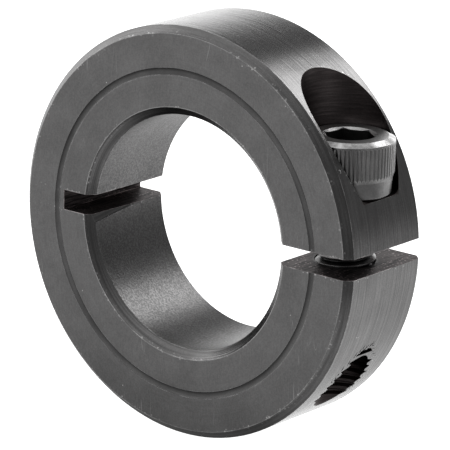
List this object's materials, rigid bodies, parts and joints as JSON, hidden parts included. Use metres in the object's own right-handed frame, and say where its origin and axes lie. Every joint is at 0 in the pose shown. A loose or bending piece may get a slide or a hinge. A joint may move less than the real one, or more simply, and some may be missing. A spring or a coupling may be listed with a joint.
{
  "type": "shaft collar",
  "caption": "One-piece clamp shaft collar of black-oxide steel, saw-cut through one side, closed by a knurled hex socket cap screw across the gap.",
  "frame": {"origin": "centre of the bore, in the middle of the collar's width", "axes": "+Y along the bore axis, away from the grooved face; +X from the bore through the middle of the clamp gap; +Z along the screw, towards its head"},
  "size_m": [0.0444, 0.0126, 0.0444],
  "materials": {
    "collar_steel": "black oxide over turned steel",
    "screw_steel": "black oxide over forged and rolled steel, worn brighter on the head's rim"
  },
  "bodies": {
    "collar": {"collar_body": "collar_steel"},
    "screw": {"cap_screw": "screw_steel"}
  },
  "joints": [
    {"name": "screw_turn", "type": "hinge", "parent": "collar", "child": "screw", "pos_m": [0.01687, 0, 0.00675], "axis": [0, 0, -1], "range_deg": [-330, 90]}
  ]
}
